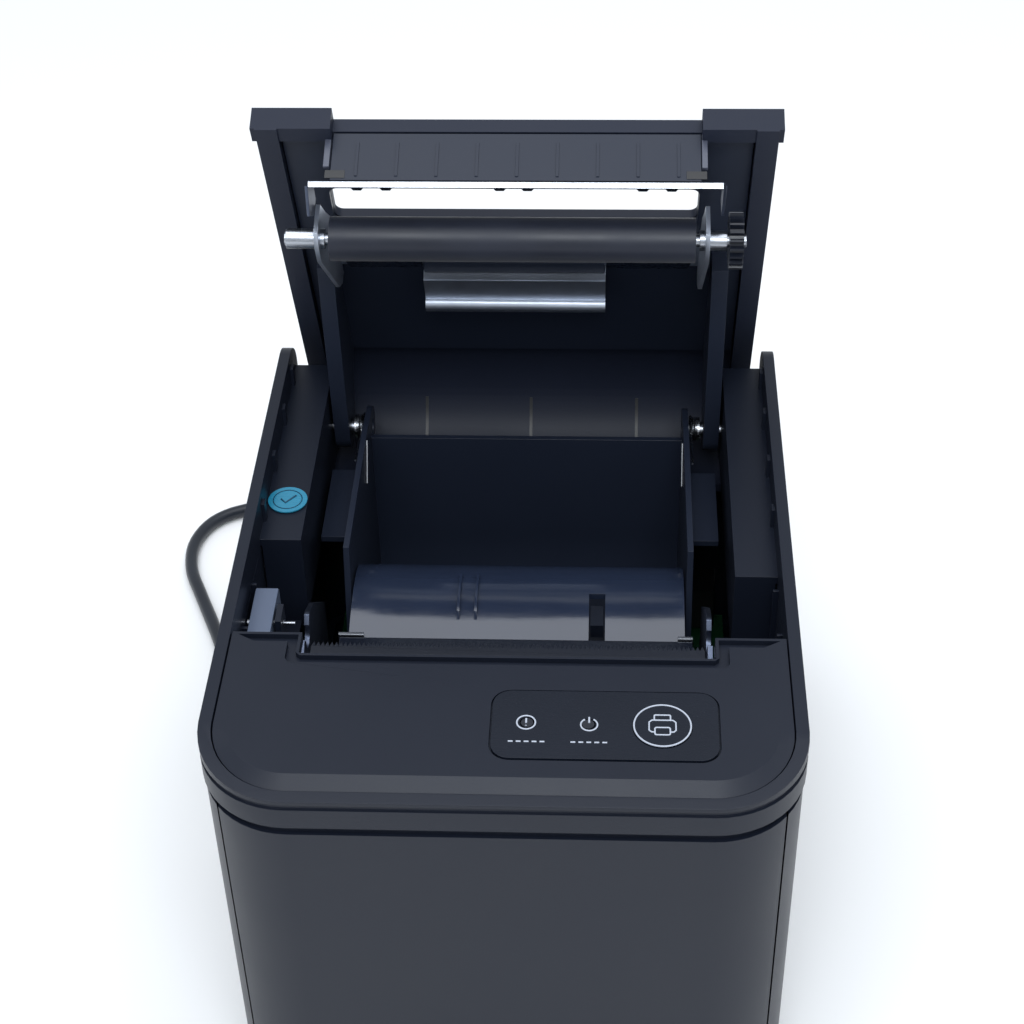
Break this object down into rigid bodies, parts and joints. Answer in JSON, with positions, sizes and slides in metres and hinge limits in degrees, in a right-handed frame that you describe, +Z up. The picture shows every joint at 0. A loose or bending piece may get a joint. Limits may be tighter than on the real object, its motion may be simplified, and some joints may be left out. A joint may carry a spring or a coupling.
{
  "type": "receipt printer",
  "caption": "Compact desktop thermal receipt printer for 80 mm paper, lid open on its rear hinge, with platen, cutter, drop-in paper bin, latch lever, front feed button and data lead.",
  "frame": {"origin": "centre of the bounding box of the printer without its lead, at the table under the feet", "axes": "+X to the viewer's right, +Y from the front panel to the rear, +Z up"},
  "size_m": [0.1763, 0.2741, 0.2019],
  "materials": {
    "case": "fine moulded texture",
    "lid": "fine moulded texture",
    "inner": "moulded",
    "window": "smoked gloss",
    "gloss": "polished",
    "steel": "bright",
    "polished": "polished",
    "spring": "drawn wire",
    "roller": "ground rubber",
    "foot": "matt",
    "gear": "satin",
    "lever": "satin",
    "board": "solder mask",
    "socket": "moulded",
    "lens": "diffusing",
    "seal": "foil",
    "head": "dark glaze",
    "blackened": "blackened",
    "aluminium": "extruded",
    "cord": "PVC"
  },
  "bodies": {
    "base": {"bottom_tray": "case", "lower_housing": "case", "front_cover": "case", "upper_housing": "case", "front_panel": "case", "paper_bin": "inner", "indicator_window": "window", "paper_guide": "gloss", "cross_member": "steel", "usb_socket": "steel", "stepper_motor": "steel", "cutter_motor": "steel", "lever_pin": "steel", "hinge_pin_left": "steel", "hinge_pin_right": "steel", "hinge_spring_left": "spring", "hinge_spring_right": "spring", "head_spring_left": "spring", "head_spring_right": "spring", "rubber_foot_1": "foot", "rubber_foot_2": "foot", "rubber_foot_3": "foot", "rubber_foot_4": "foot", "tear_bar": "gear", "paper_sensor": "gear", "main_board": "board", "drawer_socket": "socket", "power_socket": "socket", "switch_frame": "socket", "error_lens": "lens", "power_lens": "lens", "inspection_seal": "seal", "side_frame_left": "blackened", "side_frame_right": "blackened", "data_plug": "cord", "data_lead_rear": "cord", "lead_coil": "cord", "data_lead_side": "cord", "data_connector": "cord"},
    "button": {"feed_button": "window"},
    "rocker": {"power_rocker": "gear"},
    "head": {"print_head": "head", "head_heat_sink": "aluminium"},
    "blade": {"moving_blade": "steel"},
    "cutter_drive": {"cutter_pinion": "gear"},
    "drive": {"drive_gear": "gear"},
    "pinion": {"motor_pinion": "steel"},
    "latch": {"latch_bar": "blackened"},
    "lever": {"open_lever": "lever"},
    "lid": {"lid_shell": "lid", "lid_liner": "inner", "platen_bracket": "polished", "fixed_blade": "steel", "platen_bush_left": "steel", "platen_bush_right": "steel"},
    "platen": {"platen_shaft": "steel", "platen_rubber": "roller", "platen_gear": "gear"}
  },
  "joints": [
    {"name": "lid_hinge", "type": "hinge", "parent": "base", "child": "lid", "pos_m": [0, 0.0655, 0.097], "axis": [-1, 0, 0], "range_deg": [-67.74, 0], "stiffness_Nm_per_rad": 0.04, "springref_deg": 68.75},
    {"name": "platen_spin", "type": "hinge", "parent": "lid", "child": "platen", "pos_m": [0, 0.03533, 0.17466], "axis": [1, 0, 0], "continuous": true},
    {"name": "drive_spin", "type": "hinge", "parent": "base", "child": "drive", "pos_m": [0.0502, -0.02594, 0.07672], "axis": [1, 0, 0], "continuous": true},
    {"name": "pinion_spin", "type": "hinge", "parent": "base", "child": "pinion", "pos_m": [0.0502, -0.03869, 0.06041], "axis": [1, 0, 0], "continuous": true},
    {"name": "cutter_slide", "type": "slide", "parent": "base", "child": "blade", "axis": [0, 0.8, 0.6], "range_m": [0, 0.008]},
    {"name": "cutter_spin", "type": "hinge", "parent": "base", "child": "cutter_drive", "pos_m": [-0.0175, -0.03854, 0.08515], "axis": [-1, 0, 0], "range_deg": [0, 64]},
    {"name": "lever_turn", "type": "hinge", "parent": "base", "child": "lever", "pos_m": [-0.057, -0.0234, 0.108], "axis": [-1, 0, 0], "range_deg": [0, 8], "stiffness_Nm_per_rad": 0.03, "springref_deg": -20.05},
    {"name": "latch_turn", "type": "hinge", "parent": "base", "child": "latch", "pos_m": [0, -0.0295, 0.082], "axis": [1, 0, 0], "range_deg": [0, 12]},
    {"name": "feed_button_press", "type": "slide", "parent": "base", "child": "button", "axis": [0, 0, -1], "range_m": [0, 0.0008], "stiffness_N_per_m": 800, "springref_m": -0.0005},
    {"name": "power_rocker_tilt", "type": "hinge", "parent": "base", "child": "rocker", "pos_m": [0.045, 0.0815, 0.0245], "axis": [1, 0, 0], "range_deg": [0, 16]},
    {"name": "head_press", "type": "slide", "parent": "base", "child": "head", "axis": [0, 0, -1], "range_m": [0, 0.0008], "stiffness_N_per_m": 3000, "springref_m": -0.001, "deforming": ["head_spring_left", "head_spring_right"]}
  ],
  "couplings": [
    {"joint": "pinion_spin", "follows": "drive_spin", "ratio": -4.6667},
    {"joint": "cutter_spin", "follows": "cutter_slide", "rad_per_m": 138.89},
    {"joint": "latch_turn", "follows": "lever_turn", "ratio": 1.36}
  ]
}
